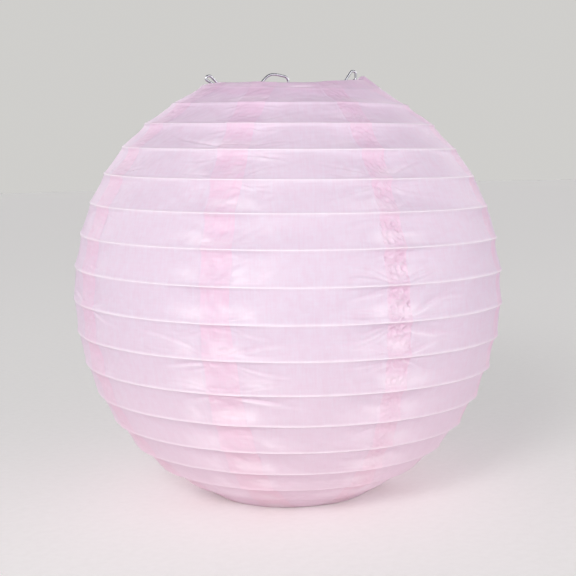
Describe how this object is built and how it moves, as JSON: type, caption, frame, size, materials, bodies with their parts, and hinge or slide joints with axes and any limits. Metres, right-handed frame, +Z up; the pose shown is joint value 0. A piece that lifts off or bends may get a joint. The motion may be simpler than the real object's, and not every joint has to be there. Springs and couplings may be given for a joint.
{
  "type": "paper lantern",
  "caption": "Round folding paper lantern: lapped tissue gores on a helical rib wire, a hoop in each hem, and a removable bent-wire expander with a hanging hump.",
  "frame": {"origin": "centre of the base, on the plane that the bottom hem stands on", "axes": "+Z up along the lantern's axis, +X along the expander's crossbar"},
  "size_m": [0.2004, 0.2004, 0.197],
  "materials": {
    "paper": "pale lavender-pink tissue paper with fine fibres and creases, thin enough to let light through",
    "rib_wire": "thin bright drawn steel wire",
    "hoop_wire": "drawn steel wire",
    "expander_wire": "bright zinc-plated steel wire"
  },
  "bodies": {
    "shade": {"paper_gore_1": "paper", "paper_gore_2": "paper", "paper_gore_3": "paper", "paper_gore_4": "paper", "paper_gore_5": "paper", "paper_gore_6": "paper", "paper_gore_7": "paper", "paper_gore_8": "paper", "rib_wire": "rib_wire", "bottom_ring": "hoop_wire"},
    "top_hoop": {"top_ring": "hoop_wire"},
    "expander": {"expander": "expander_wire"}
  },
  "joints": [
    {"name": "shade_collapse", "type": "slide", "parent": "shade", "child": "top_hoop", "axis": [0, 0, -1], "range_m": [0, 0.175], "deforming": ["paper_gore_1", "paper_gore_2", "paper_gore_3", "paper_gore_4", "paper_gore_5", "paper_gore_6", "paper_gore_7", "paper_gore_8", "rib_wire"]},
    {"name": "expander_lift", "type": "slide", "parent": "shade", "child": "expander", "axis": [0, 0, 1], "range_m": [0, 0.2]}
  ]
}
